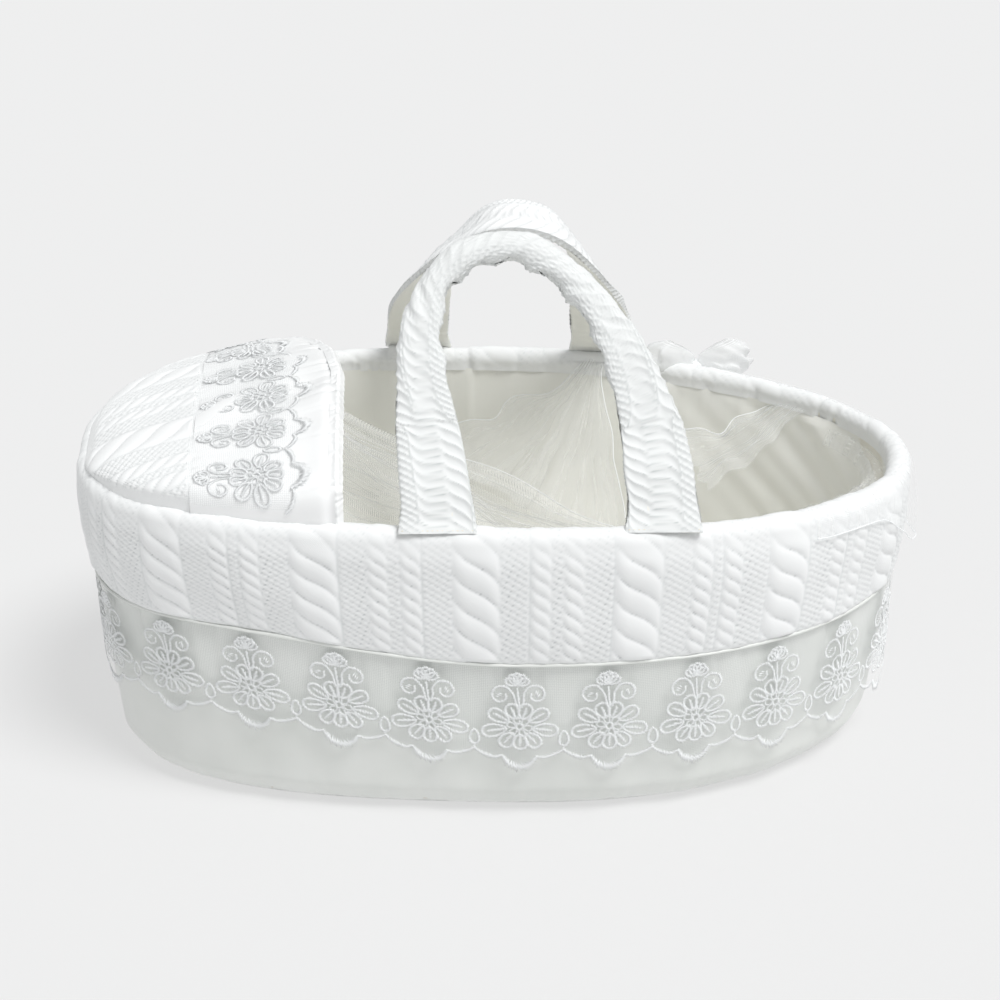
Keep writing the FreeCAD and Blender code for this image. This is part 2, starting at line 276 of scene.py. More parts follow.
# ---- materials ----
class Shader:
    """A principled material with short ways to add its nodes."""

    def __init__(self, name, colour, roughness, sheen=0.0):
        self.material = bpy.data.materials.new(name)
        self.material.use_nodes = True
        self.tree = self.material.node_tree
        self.shader = self.tree.nodes["Principled BSDF"]
        self.shader.inputs["Base Color"].default_value = (*colour, 1)
        self.shader.inputs["Roughness"].default_value = roughness
        self.shader.inputs["Sheen Weight"].default_value = sheen
        self.shader.inputs["Sheen Roughness"].default_value = 0.4

    def node(self, kind, links=None, **values):
        node = self.tree.nodes.new(kind)
        for key, value in values.items():
            if hasattr(node, key):
                setattr(node, key, value)
            else:
                node.inputs[key.replace("_", " ").title()].default_value = value
        for key, source in (links or {}).items():
            self.tree.links.new(source, node.inputs[key])
        return node

    def place(self, scale):
        """Place on the cloth, scaled so that 1 is one repeat."""
        spot = self.node("ShaderNodeUVMap", uv_map="cloth")
        return self.node("ShaderNodeMapping", {"Vector": spot.outputs[0]}, Scale=scale).outputs[0]

    def noise(self, scale, detail=2.0, stretch=(1, 1, 1)):
        spot = self.node("ShaderNodeMapping", {"Vector": self.place((1, 1, 1))}, Scale=stretch).outputs[0]
        return self.node("ShaderNodeTexNoise", {"Vector": spot}, Scale=scale, Detail=detail).outputs["Fac"]

    def maths(self, operation, *values):
        node = self.tree.nodes.new("ShaderNodeMath")
        node.operation = operation
        for socket, value in zip(node.inputs, values):
            if isinstance(value, (int, float)):
                socket.default_value = value
            else:
                self.tree.links.new(value, socket)
        return node.outputs[0]

    def weave(self, pitch_along, pitch_up):
        """Over-and-under threads, 0 to 1."""
        spot = self.place((2 * math.pi / pitch_along, 2 * math.pi / pitch_up, 1))
        split = self.node("ShaderNodeSeparateXYZ", {"Vector": spot})
        waves = [self.maths("SINE", split.outputs[k]) for k in (0, 1)]
        return self.maths("MULTIPLY_ADD", self.maths("MULTIPLY", *waves), 0.5, 0.5)

    def tint(self, factor, low, high, reach=(0.3, 0.7)):
        """Colours the surface from low to high by a factor."""
        ramp = self.tree.nodes.new("ShaderNodeMapRange")
        ramp.inputs["From Min"].default_value, ramp.inputs["From Max"].default_value = reach
        self.tree.links.new(factor, ramp.inputs["Value"])
        mix = self.tree.nodes.new("ShaderNodeMix")
        mix.data_type = "RGBA"
        mix.inputs["A"].default_value = (*low, 1)
        mix.inputs["B"].default_value = (*high, 1)
        self.tree.links.new(ramp.outputs[0], mix.inputs["Factor"])
        self.tree.links.new(mix.outputs["Result"], self.shader.inputs["Base Color"])

    def bump(self, height, distance, strength=1.0, under=None):
        links = {"Height": height}
        if under is not None:
            links["Normal"] = under
        node = self.node("ShaderNodeBump", links, Distance=distance, Strength=strength)
        self.tree.links.new(node.outputs[0], self.shader.inputs["Normal"])
        return node.outputs[0]


def knit_material(name, high, low):
    m = Shader(name, high, 0.78, sheen=0.2)
    # Painted shade: the grooves are coloured from high down to low by the hollow attribute, on top of the
    # real relief.
    groove = m.node("ShaderNodeAttribute", attribute_name="hollow").outputs["Fac"]
    m.tint(groove, high, low, (0.0, 1.0))
    under = m.bump(m.noise(900, 3), 0.0004, 0.5)
    m.bump(m.weave(0.0016, 0.0014), 0.00025, 0.6, under)
    return m.material


def satin_material(name, low, high, roughness=0.34):
    m = Shader(name, high, roughness, sheen=0.15)
    m.shader.inputs["Specular IOR Level"].default_value = 0.55
    m.shader.inputs["Anisotropic"].default_value = 0.4
    m.tint(m.noise(12, 3), low, high)
    under = m.bump(m.noise(26, 2, (1, 0.35, 1)), 0.004, 0.25)
    m.bump(m.noise(1400, 2, (1, 0.12, 1)), 0.0002, 0.35, under)
    return m.material


def thread_material():
    m = Shader("thread", (0.95, 0.97, 0.98), 0.32, sheen=0.2)
    m.shader.inputs["Specular IOR Level"].default_value = 0.7
    m.tint(m.noise(400, 2), (0.93, 0.95, 0.96), (0.98, 0.99, 0.99))
    return m.material


def net_material(name, colour, cell, solid, sheer, streaks):
    """Fine net: threads round open cells. solid is how much the threads hide, sheer how much the cells do,
    streaks how much the folds that run up the cloth add."""
    m = Shader(name, colour, 0.6, sheen=0.3)
    spot = m.place((1 / cell, 1 / cell, 1))
    cells = m.node("ShaderNodeTexVoronoi", {"Vector": spot}, feature="DISTANCE_TO_EDGE",
                   Scale=1.0, Randomness=0.25)
    wide = m.maths("LESS_THAN", cells.outputs["Distance"], 0.11)
    cloudy = m.maths("MULTIPLY_ADD", m.noise(90, 2, (1, 0.12, 1)), 2 * streaks, -0.9 * streaks)
    alpha = m.maths("ADD", m.maths("MULTIPLY_ADD", wide, solid - sheer, sheer), cloudy)
    m.tree.links.new(alpha, m.shader.inputs["Alpha"])
    m.tint(m.noise(18, 2), tuple(0.96 * c for c in colour), colour)
    return m.material


def plain_material(name, low, high, scale=40, roughness=0.8, metal=0.0):
    m = Shader(name, high, roughness)
    m.shader.inputs["Metallic"].default_value = metal
    place = m.node("ShaderNodeTexCoord").outputs["Object"]
    grain = m.node("ShaderNodeTexNoise", {"Vector": place}, Scale=scale, Detail=4.0).outputs["Fac"]
    m.tint(grain, low, high)
    m.bump(grain, 0.0006, 0.4)
    return m.material


# The second colour of each knit is the painted shade at the bottom of its grooves.
KNIT = knit_material("knit", (0.93, 0.94, 0.94), (0.66, 0.69, 0.69))
# A darker copy of the knit for the near handle, which sits in shade: painted shade.
SHADED_STRAP_KNIT = knit_material("strap_knit_painted_shade", (0.85, 0.865, 0.86), (0.54, 0.57, 0.57))
# The skirt and piping satin is a darker copy of the hood's white satin: painted shade.
SHADED_SATIN = satin_material("white_satin", (0.74, 0.76, 0.73), (0.80, 0.815, 0.79), 0.3)
# The hood's satin is a lighter copy of the same white satin, for its top in full light: painted light.
LIT_HOOD_SATIN = satin_material("hood_satin", (0.95, 0.96, 0.96), (0.98, 0.985, 0.985))
LINING = satin_material("cream_satin", (0.95, 0.95, 0.90), (0.97, 0.97, 0.93), 0.4)
THREAD = thread_material()
NET = net_material("lace_net", (0.92, 0.94, 0.94), 0.0016, 0.2, 0.05, 0.04)
TULLE = net_material("tulle", (0.98, 0.99, 0.99), 0.0013, 0.24, 0.1, 0.07)
BOW_TULLE = net_material("tulle_layers", (0.98, 0.99, 0.99), 0.0013, 0.7, 0.4, 0.14)
TICKING = satin_material("ticking", (0.84, 0.83, 0.76), (0.88, 0.87, 0.80), 0.6)
HEM = plain_material("hem", (0.93, 0.95, 0.96), (0.97, 0.98, 0.98), 300, 0.5)
FOAM = plain_material("foam", (0.88, 0.86, 0.78), (0.93, 0.91, 0.85), 200)
STITCH = plain_material("stitch", (0.85, 0.78, 0.6), (0.9, 0.84, 0.68), 300, 0.6)


# ---- the cable knit ----
CABLE_REPEATS = 14
CABLE_PITCH = PERIMETER / CABLE_REPEATS
CABLE_PHASE = -30
CABLE_HALF, ROPE_HALF, ROPE_AWAY = 21.0, 9.5, 13.5


def lobes(x, v, half, pitch, lean, height):
    """A column of leaf-shaped lobes, each running down from left to right."""
    t = np.clip(x / half, -1, 1)
    fall = lean * (0.55 * t + 0.45 * t ** 3)
    part = ((v + fall) / pitch) % 1.0
    leaf = np.sin(math.pi * part) ** 0.45
    return 0.5 * np.abs(t) ** 4 + height * leaf * (1 - np.abs(t) ** 4)


def diamonds(s, v, wide=9.5, high=6.4):
    """The quilted ground: small pillows between crossing grooves."""
    one = np.abs(np.sin(math.pi * (s / wide + v / high)))
    two = np.abs(np.sin(math.pi * (s / wide - v / high)))
    return 1.6 * one ** 0.45 * (0.5 + 0.5 * two ** 0.5)


def knit_relief(s, v, pitch=CABLE_PITCH, phase=CABLE_PHASE):
    """Height in millimetres of the knit at s along and v up the cloth."""
    x = (s - phase + pitch / 2) % pitch - pitch / 2
    middle = (s - phase) % pitch - pitch / 2
    height = diamonds(s, v)
    cable = lobes(x, v, CABLE_HALF, 25.5, 21, 3.1)
    height = np.where(np.abs(x) < CABLE_HALF, cable, height)
    for side in (-1, 1):
        near = np.abs(middle - side * ROPE_AWAY) < ROPE_HALF
        rope = lobes(middle - side * ROPE_AWAY, v + side * 4, ROPE_HALF, 14, 11, 2.1)
        height = np.where(near, rope, height)
    return height


def hollows(height, share=1.0):
    """0 on top of the knit's relief to 1 in the bottom of its grooves; it sets how much painted shade the
    knit material puts in the grooves.
    """
    return np.clip(1 - height / 1.3, 0, 1) ** 1.5 * share


# ---- band and rim ----
BAND_HIGH, ROLL_SIDE, ROLL_RADIUS = 104.0, 13.0, 10.0


def band_profile(v):
    """Nominal height and inset of the knit v millimetres up from the seam, over the rim and down inside."""
    side_top = BAND_HIGH + ROLL_SIDE
    arc = np.clip(v - side_top, 0, math.pi * ROLL_RADIUS) / ROLL_RADIUS
    down = np.maximum(0, v - side_top - math.pi * ROLL_RADIUS)
    z = SEAM_Z + np.minimum(v, side_top) + 1.1 * ROLL_RADIUS * np.sin(arc) - down
    return z, ROLL_RADIUS * (1 - np.cos(arc))


def knit_band():
    total = BAND_HIGH + 53
    s = round_tub(1060)
    v = np.linspace(0, total, 91)[:, None]
    z, inset = band_profile(v)
    bulge = 2.2 * np.sin(math.pi * np.clip(v / 120, 0, 1))
    base = wall(s, z + 0 * s, bulge - inset)
    crest = 1 - 0.5 * smooth_step(v, 96, 116)
    tucked = smooth_step(v, 0, 5) * (1 - smooth_step(v, total - 12, total - 3))
    knit = knit_relief(s, v + 3)
    relief = knit * crest * tucked + 1.2 * ripples(s, v, 3, (60, 160))
    relief += 1.3 * gathers(s, PERIMETER, 5, 90, (2, 6)) * smooth_step(v, total - 30, total - 4)
    points = base + grid_normals(base, True) * relief[..., None]
    piece = sheet_piece("knit_band", points, KNIT, s, v, wrap=True, hollow=hollows(knit, crest * tucked))
    pad(piece, 0.6, "knit", "quilt_band", "rim_cover")


# ---- skirt, piping and underside ----
def satin_skirt():
    s = round_tub(760)
    z = np.concatenate([np.linspace(SEAM_Z + 1, 30, 52), np.linspace(27, 0, 16)])[:, None]
    below = SEAM_Z - z
    folds = 2.6 * gathers(s, PERIMETER, 11, 120, (2, 7)) * np.exp(-below / 26)
    folds += 1.5 * ripples(s, below, 12, (40, 150), 3) * smooth_step(below, 0, 30)
    hem = 1.6 * gathers(s, PERIMETER, 13, 130, (2, 6)) * np.exp(-np.abs(z - 5) / 9)
    wall_part = wall(s, z, -3 + (folds + hem) * smooth_step(z, -1, 6) + 0.5)
    under = []
    for share in (0.97, 0.9, 0.75, 0.5, 0.25, 0.02):
        flat = wall_part[-1] * [share, share, 0] + [0, 0, 0.02 + 0.6 * (1 - share)]
        under.append(flat)
    points = np.concatenate([wall_part, np.array(under)])
    up = np.concatenate([z, -np.arange(1, 7)[:, None] * 25.0])
    # The skirt takes the darker satin copy: painted shade.
    piece = sheet_piece("skirt_cloth", points, SHADED_SATIN, s, up, wrap=True, flip=True)
    pad(piece, 0.4, "white_satin", "satin_skirt", "bottom_cover")


def tube(name, path, radius, material, sides=8, closed=False):
    """A round cord along points in millimetres; radius may vary along it."""
    path = np.asarray(path, float)
    if closed:
        run = np.roll(path, -1, 0) - np.roll(path, 1, 0)
    else:
        run = np.gradient(path, axis=0)
    run = unit(run)
    guide = np.where(np.abs(run[:, 2:]) < 0.9, [[0, 0, 1.0]], [[1.0, 0, 0]])
    side = unit(np.cross(run, guide))
    top = np.cross(side, run)
    turn = np.arange(sides) / sides * 2 * math.pi
    ring = side[None] * np.cos(turn)[:, None, None] + top[None] * np.sin(turn)[:, None, None]
    points = path[None] + ring * np.broadcast_to(radius, len(path))[None, :, None]
    points = np.concatenate([points, points[:1]])
    along = run_length(path)[None, :]
    up = (np.arange(sides + 1) / sides * 6)[:, None]
    rows, cols = points.shape[:2]
    quads, _ = grid_faces(rows, cols, False, True)
    cloth = np.stack([np.broadcast_to(along, (rows, cols)).ravel()[quads],
                      np.broadcast_to(up, (rows, cols)).ravel()[quads]], -1) * MM
    ids = (np.arange(rows * cols) % ((rows - 1) * cols))
    quads = ids[quads]
    if closed:
        last = np.stack([np.arange(rows - 1) * cols + cols - 1, np.arange(rows - 1) * cols,
                         ((np.arange(rows - 1) + 1) % (rows - 1)) * cols,
                         ((np.arange(rows - 1) + 1) % (rows - 1)) * cols + cols - 1], -1)
        quads = np.concatenate([quads, last])
        cloth = np.concatenate([cloth, np.zeros((len(last), 4, 2))])
    return mesh_piece(name, points[:-1].reshape(-1, 3), quads, material, cloth)


def seam_piping():
    s = round_tub(900)[0]
    wobble = ripples(s, 0 * s, 21, (12, 60))
    path = wall(s, SEAM_Z - 1 + 0.5 * wobble, 0.3 + 0.3 * wobble)
    piece = tube("seam_piping", path, 1.5 + 0.25 * wobble, SHADED_SATIN, closed=True)
    attach(piece, "white_satin", "seam_piping")


# ---- the lining ----
def lining():
    s = round_tub(520)
    top = 270
    z = np.linspace(top, 14, 68)[:, None]
    depth = top - z
    open_end = smooth_step(wall(s, 218.0)[..., 0], 120, 330)
    drape = 1.5 * ripples(s, depth, 31, (50, 190), 2)
    drape += 3.0 * open_end * ripples(s + 1.1 * depth, 0.2 * depth, 32, (30, 70), 3)
    seam = 1.8 * gathers(s, PERIMETER, 33, 150, (1.5, 5)) * np.exp(-depth / 16)
    out = -RIM_WIDE + 1.5 + (drape + seam) * smooth_step(depth, 0, 8) * smooth_step(z, 12, 40)
    points = wall(s, z, out)
    floor = [points[-1] * [share, share, 0] + [0, 0, 11.5] for share in (0.96, 0.7, 0.4, 0.02)]
    points = np.concatenate([points, np.array(floor)])
    up = np.concatenate([z, -np.arange(1, 5)[:, None] * 40.0])
    piece = sheet_piece("lining", points, LINING, s, up, wrap=True)
    attach(piece, "cream_satin", "lining_wall", "lining_floor")


# ---- the rim's line ----
def rim_y(x, side, inset):
    a, b = WALL_LONG[-1] - inset, WALL_WIDE[-1] - inset
    power = np.where(x < 0, BLUNT_END, OPEN_END)
    reach = np.maximum(1e-9, 1 - np.abs(x / a) ** power) ** (1 / power)
    return side * b * reach - SKEW * x * (1 - (x / a) ** 2)


def rim_point(x, side, inset=10.0, z=CREST_Z):
    return np.stack([x + 0 * inset, rim_y(x, side, inset), level(x, z + 0 * x)], -1)


# ---- lace ----
LACE_REPEATS, LACE_PHASE, MOTIF_WIDE = 24, 6, 78
LACE_PITCH = PERIMETER / LACE_REPEATS


def curve(*points, closed=False, step=1.2):
    """Evenly spaced points on a smooth line through the given ones."""
    knots = np.array(points, float)
    if closed:
        knots = np.concatenate([knots, knots[:1]])
    pad = np.concatenate([2 * knots[:1] - knots[1:2], knots, 2 * knots[-1:] - knots[-2:-1]])
    if closed:
        pad[0], pad[-1] = knots[-2], knots[1]
    line = []
    for k in range(len(knots) - 1):
        t = np.linspace(0, 1, 24, endpoint=False)[:, None]
        a, b, c, d = pad[k:k + 4]
        line.append(0.5 * (2 * b + (c - a) * t + (2 * a - 5 * b + 4 * c - d) * t ** 2
                           + (3 * b - a - 3 * c + d) * t ** 3))
    line = np.concatenate(line + [knots[-1:]])
    run = np.concatenate([[0], np.cumsum(np.hypot(*np.diff(line, axis=0).T))])
    at = np.linspace(0, run[-1], max(3, int(run[-1] / step)))
    return np.stack([np.interp(at, run, line[:, 0]), np.interp(at, run, line[:, 1])], -1)


def petal(middle, angle, length, width):
    """A closed petal outline that starts at middle and points along angle."""
    turn = np.linspace(0, 2 * math.pi, 9)[:-1]
    along = length * (0.5 - 0.5 * np.cos(turn))
    across = width / 2 * np.sin(turn) * (0.75 + 0.25 * (1 - np.cos(turn)))
    c, s = math.cos(angle), math.sin(angle)
    points = np.stack([middle[0] + along * c - across * s, middle[1] + along * s + across * c], -1)
    return curve(*points, closed=True)


def lace_strokes():
    """One repeat of the embroidery as (line, width at middle, width at ends); lines run across and down."""
    strokes = []
    flower = (0, 59)
    for k in range(9):
        angle = math.radians(-90 + 40 * k + 18)
        reach = 1 / math.hypot(math.cos(angle) / 34, math.sin(angle) / 22)
        base = (flower[0] + 0.36 * reach * math.cos(angle), flower[1] + 0.36 * reach * math.sin(angle))
        strokes.append((petal(base, angle, 0.64 * reach, 11.5), 3.4, 3.0))
        tip = (base[0] + 0.48 * reach * math.cos(angle), base[1] + 0.48 * reach * math.sin(angle))
        strokes.append((curve(base, tip), 4.2, 2.0))
    for k in range(6):
        angle = math.radians(60 * k + 12)
        base = (flower[0] + 3.5 * math.cos(angle), flower[1] + 2.5 * math.sin(angle))
        strokes.append((petal(base, angle, 7.5, 5), 2.2, 2.0))
    strokes.append((curve((-3, 59), (0, 55.5), (3, 59), (0, 62.5), closed=True), 2.6, 2.6))
    for side, middle in ((-1, (-16, 27)), (1, (14, 26))):
        turn = np.linspace(0.2, 2.1 * math.pi, 8)
        reach = 10.5 - 0.95 * turn
        points = [(middle[0] - side * r * math.cos(t), middle[1] + 2 - r * math.sin(t))
                  for t, r in zip(turn, reach)]
        strokes.append((curve((2 * side, 40), (side * 3.5, 34), *points), 3.2, 2.6))
        strokes.append((curve((middle[0], middle[1]), (middle[0] + side * 2.5, middle[1] + 3)), 5.6, 4.0))
    strokes.append((curve((0, 40), (-1, 32), (-2, 22)), 3.0, 2.6))
    for angle in (-90, -158, -22, -125, -55):
        strokes.append((petal((-2, 18), math.radians(angle), 10.5, 6.5), 3.6, 2.8))
    strokes.append((petal((39, 64), math.radians(90), 14, 8), 3.2, 2.8))
    strokes.append((curve((39, 78), (39, 82)), 3.4, 3.4))
    strokes.append((curve((-39, 82), (-32, 87), (-22, 90), (-15, 88)), 4.6, 2.8))
    strokes.append((curve((-15, 88), (-9, 96), (0, 99), (9, 96), (15, 88)), 8.5, 3.0))
    strokes.append((curve((15, 88), (22, 89), (32, 86), (39, 82)), 4.6, 2.8))
    return strokes


STROKES = lace_strokes()


def lace_stitches(seed):
    """Centres, directions, lengths of the stitches of one repeat."""
    draw = np.random.default_rng(seed)
    spots, turns, longs = [], [], []
    for line, middle, ends in STROKES:
        run = np.gradient(line, axis=0)
        angle = np.arctan2(run[:, 1], run[:, 0]) + math.radians(64) + draw.normal(0, 0.16, len(line))
        share = np.sin(np.linspace(0, math.pi, len(line)))
        spots.append(line + draw.normal(0, 0.12, line.shape))
        turns.append(angle)
        longs.append(1.4 * (ends + (middle - ends) * share) * draw.uniform(0.85, 1.15, len(line)))
    return np.concatenate(spots), np.concatenate(turns), np.concatenate(longs)


def embroidery(name, place, offsets, pitch, material, bold=0.6):
    """Stitches as small spindles of thread; place(s, down) gives points on the ground cloth."""
    points, faces = [], []
    shape = np.array([(-1, 0, 0), (1, 0, 0), (0.1, 1, 0.1), (0.1, -1, 0.1), (0, 0, 1), (0, 0, -0.3)])
    shell = np.array([(0, 4, 2), (0, 3, 4), (1, 2, 4), (1, 4, 3),
                      (0, 2, 5), (0, 5, 3), (1, 5, 2), (1, 3, 5)])
    count = 0
    for k, offset in enumerate(offsets):
        spots, turns, longs = lace_stitches(k)
        s, down = offset + spots[:, 0] * pitch / MOTIF_WIDE, spots[:, 1]
        middle = place(s, down)
        right = unit(place(s + 0.5, down) - place(s - 0.5, down))
        drop = place(s, down + 0.5) - place(s, down - 0.5)
        drop = unit(drop - right * (drop * right).sum(1, keepdims=True))
        out = np.cross(drop, right)
        run = right * np.cos(turns)[:, None] + drop * np.sin(turns)[:, None]
        side = np.cross(out, run)
        axes = np.stack([run * longs[:, None] / 2, side * 0.68, out * bold], 1)
        body = middle[:, None] + out[:, None] * 0.35 * bold + np.einsum("vk,nkc->nvc", shape, axes)
        ids = count + np.arange(len(s))[:, None, None] * 6 + shell[None]
        points.append(body.reshape(-1, 3))
        faces.append(ids.reshape(-1, 3))
        count += len(s) * 6
    return mesh_piece(name, np.concatenate(points), np.concatenate(faces), material)


def lace_hang(s, down):
    """The trim hangs from the seam, a little clear of the skirt."""
    s, down = np.broadcast_arrays(s, down)
    x, y = plan(turn_at(s), 369.5, 202.5)
    down = down * (1.03 + 0.1 * x / 377)
    top = np.stack([x, y, level(x, SEAM_Z + 0 * x) - down], -1)
    close = wall(s, np.maximum(SEAM_Z - down, 10), 2.0)
    close[..., 2] = top[..., 2]
    share = np.clip(down / 100, 0, 1)[..., None]
    wave = (1.6 * ripples(s, 0 * s, 41, (35, 90)) * share[..., 0])[..., None]
    normal = np.stack([np.cos(turn_at(s)), np.sin(turn_at(s)), 0 * s], -1)
    return top * 0.45 + close * 0.55 + normal * (wave + 1.0 * share)


def scallop(s, pitch=LACE_PITCH, phase=LACE_PHASE):
    """How far down the lace reaches at s."""
    u = np.abs((s - phase + pitch / 2) % pitch - pitch / 2) * MOTIF_WIDE / pitch
    edge, lobe_half = 87, 15
    lobe = edge + 11 * np.sqrt(np.maximum(0, 1 - (u / 15.5) ** 2))
    return np.where(u < lobe_half, lobe, edge - 5 * ((u - lobe_half) / 24) ** 2)


def lace_trim():
    s = round_tub(1100)
    share = np.linspace(0.02, 1, 14)[:, None]
    down = share * scallop(s)
    net = sheet_piece("lace_net", lace_hang(s, down), NET, s, -down, wrap=True, flip=True)
    places = LACE_PHASE + (np.arange(LACE_REPEATS) - LACE_REPEATS // 2) * LACE_PITCH
    work = embroidery("lace_embroidery", lace_hang, places, LACE_PITCH, THREAD)
    attach(work, "lace", "lace_trim")
    attach(net, "lace", "lace_trim")


# ---- the hood ----
HOOD_NOSE, HOOD_MOUTH_X, HOOD_SATIN_X, HOOD_INSET = -368.5, -142.0, -268.0, 7.0
HOOD_LOW, HOOD_RISE, HOOD_FULL, HOOD_SLUMP = 16, 46, 0.7, 0.26
MOUTH_Y = (-260, 0, 60, 110, 160, 260)
MOUTH_X = (-142, -139, -147, -163, -184, -205)


def hood_surface(x, turn, raised=0.0):
    """Points of the hood at x; turn runs from 0 at the far edge over the top to pi at the near edge."""
    x, turn = np.broadcast_arrays(x, turn)
    near, far = rim_y(x, -1, HOOD_INSET), rim_y(x, 1, HOOD_INSET)
    share = np.clip((x + 366) / 224, 0, 1.1)
    nose = np.clip((x - HOOD_NOSE) / 44, 0, 1)
    high = (HOOD_LOW + HOOD_RISE * share ** 0.85) * np.sqrt(1 - (1 - nose) ** 2)
    high = high + 5 * smooth_step(x, -180, -142) * np.sin(turn)
    lift = np.abs(np.sin(turn)) ** (HOOD_FULL + HOOD_SLUMP * np.cos(turn))
    swell = 1 + 0.012 * np.sin(turn) ** 0.5
    y = (near + far) / 2 + (far - near) / 2 * np.cos(turn) * swell
    return np.stack([x, y, CREST_Z - 1 + (high + raised) * lift], -1)


def hood_grid(start, end, rows, cols, edge=0.0):
    """The hood between two places along the tub. end None means the mouth, and edge how far before it."""
    turn = math.pi * np.linspace(0, 1, rows)
    turn = (turn - 0.42 * np.sin(2 * turn) / 2)[:, None]
    rim = hood_surface(HOOD_MOUTH_X, turn)
    mouth = np.interp(rim[..., 1], MOUTH_Y, MOUTH_X)
    stop = mouth - edge if end is None else np.full_like(mouth, end)
    first = mouth - start if start > 0 else np.full_like(mouth, start)
    share = np.linspace(0, 1, cols)[None, :]
    if start < HOOD_NOSE + 1 and start < 0:
        share = share ** 1.7
    x = first + (stop - first) * share
    points = hood_surface(x, turn)
    steps = np.linalg.norm(np.diff(points, axis=0), axis=-1)
    across = np.concatenate([np.zeros((1, cols)), np.cumsum(steps, 0)])
    across -= across[rows // 2]
    return points, x, across, mouth, turn


def tucked_edge(points, depth=9.0):
    """Adds rows along both long edges that roll under the hood."""
    def roll(edge, inward):
        first = edge + inward * 2 + [0, 0, -2.2]
        return [first, first + inward * depth + [0, 0, -0.5]]
    middle = points[len(points) // 2]
    sides = []
    for edge in (points[0], points[-1]):
        inward = (middle - edge) * [0, 1, 0]
        inward /= np.maximum(np.linalg.norm(inward, axis=1, keepdims=True), 1e-6)
        sides.append(roll(edge, inward))
    return np.concatenate([np.array(sides[0][::-1]), points, np.array(sides[1])])


def pad_rows(values):
    return np.concatenate([values[:1], values[:1], values, values[-1:], values[-1:]])


def hood():
    points, x, across, mouth, turn = hood_grid(HOOD_NOSE, HOOD_SATIN_X + 1, 380, 110)
    edge = smooth_step(np.minimum(turn, math.pi - turn), 0.02, 0.2)
    knit = knit_relief(across + 40, x)
    edge = smooth_step(x, -366, -356) * edge * smooth_step(-268 - x, 0, 4)
    relief = knit * edge + 0.8 * ripples(x, across, 51, (40, 90))
    shaped = points - grid_normals(points) * relief[..., None]
    panel = sheet_piece("hood_knit", tucked_edge(shaped), KNIT, pad_rows(across), pad_rows(x),
                        hollow=pad_rows(hollows(knit, edge)))
    pad(panel, 0.5, "knit", "hood_knit_panel")

    points, x, across, mouth, turn = hood_grid(HOOD_SATIN_X, None, 420, 84, edge=5)
    away = mouth - x
    relief = 4.2 * gathers(across, 700, 52, 40, (1.3, 3.6)) * np.exp(-away / 15)
    relief += 0.9 * gathers(across, 700, 53, 60, (1.5, 3.5)) * np.exp(-np.abs(x + 266) / 5)
    relief += 1.5 * ripples(x, across, 54, (45, 110)) - 2.5 * np.exp(-((away - 9) / 5) ** 2)
    shaped = points - grid_normals(points) * relief[..., None]
    # The hood's satin band takes the lighter satin copy: painted light.
    satin = sheet_piece("hood_satin", tucked_edge(shaped), LIT_HOOD_SATIN, pad_rows(across), pad_rows(x))
    pad(satin, 0.4, "white_satin", "hood_satin_band")

    points, x, across, mouth, turn = hood_grid(11, None, 700, 20, edge=0)
    share = np.clip(1 - (mouth - x) / 11, 0, 1)
    frill = 1.4 * ripples(across, 0 * across, 56, (4, 13)) + 2.5 * gathers(across, 700, 57, 60, (1.2, 3))
    lift = frill * share - 2 - 7 * smooth_step(share, 0.6, 1) ** 2
    shaped = points - grid_normals(points) * lift[..., None]
    frill_piece = sheet_piece("hood_mouth_gathers", shaped, LIT_HOOD_SATIN, across, x)
    attach(frill_piece, "white_satin", "hood_elastic")

    points, x, across, mouth, turn = hood_grid(HOOD_NOSE + 10, None, 90, 40, edge=1.5)
    under = points + grid_normals(points) * 9
    lining_piece = sheet_piece("hood_lining", under, LINING, across, x, flip=True)
    attach(lining_piece, "cream_satin", "hood_lining")

    wadding = (points + grid_normals(points) * 5)[::2, ::2]
    layer = sheet_piece("hood_wadding_layer", wadding, FOAM, across[::2, ::2], x[::2, ::2], flip=True)
    pad(layer, 0.6, "foam", "hood_wadding")

    turns = np.linspace(0.02, math.pi - 0.02, 600)
    line = hood_surface(-225.0, turns)
    run = run_length(line)
    reach = run[-1]

    def place(s, down):
        at = np.interp(reach - s, run, turns)
        rim = hood_surface(HOOD_MOUTH_X, at)
        end = np.interp(rim[..., 1], MOUTH_Y, MOUTH_X) - 30
        spot_x = HOOD_SATIN_X - 4 + (end - HOOD_SATIN_X + 4) * down / 98
        spot = hood_surface(spot_x, at)
        way = np.cross(hood_surface(spot_x + 1, at) - spot, hood_surface(spot_x, at + 0.01) - spot)
        return spot - unit(way) * 1.5

    repeats = 6
    pitch = reach / repeats
    offsets = (np.arange(repeats) + 0.5) * pitch
    work = embroidery("hood_lace_embroidery", place, offsets, pitch, THREAD, 0.35)
    s = np.linspace(3, reach - 3, 360)[None, :]
    down = np.linspace(0, 1, 12)[:, None] * scallop(s, pitch, pitch / 2)
    net = sheet_piece("hood_lace_net", place(s, down), NET, s, -down, flip=True)
    attach(work, "lace", "hood_lace")
    attach(net, "lace", "hood_lace")


# ---- the handles ----
STRAP_WIDE, STRAP_THICK, FOOT_DOWN = 60, 11, 15
NEAR = dict(name="near", side=-1, feet=(-62, 126), rise=226, lean=31, grip=(28, 27), twist=0,
            apex=-34, shoulder=22, rolled=1.0)
FAR = dict(name="far", side=1, feet=(-68, 113), rise=218, lean=37, grip=(56, 11), twist=62,
           apex=12, shoulder=0, rolled=0.0)


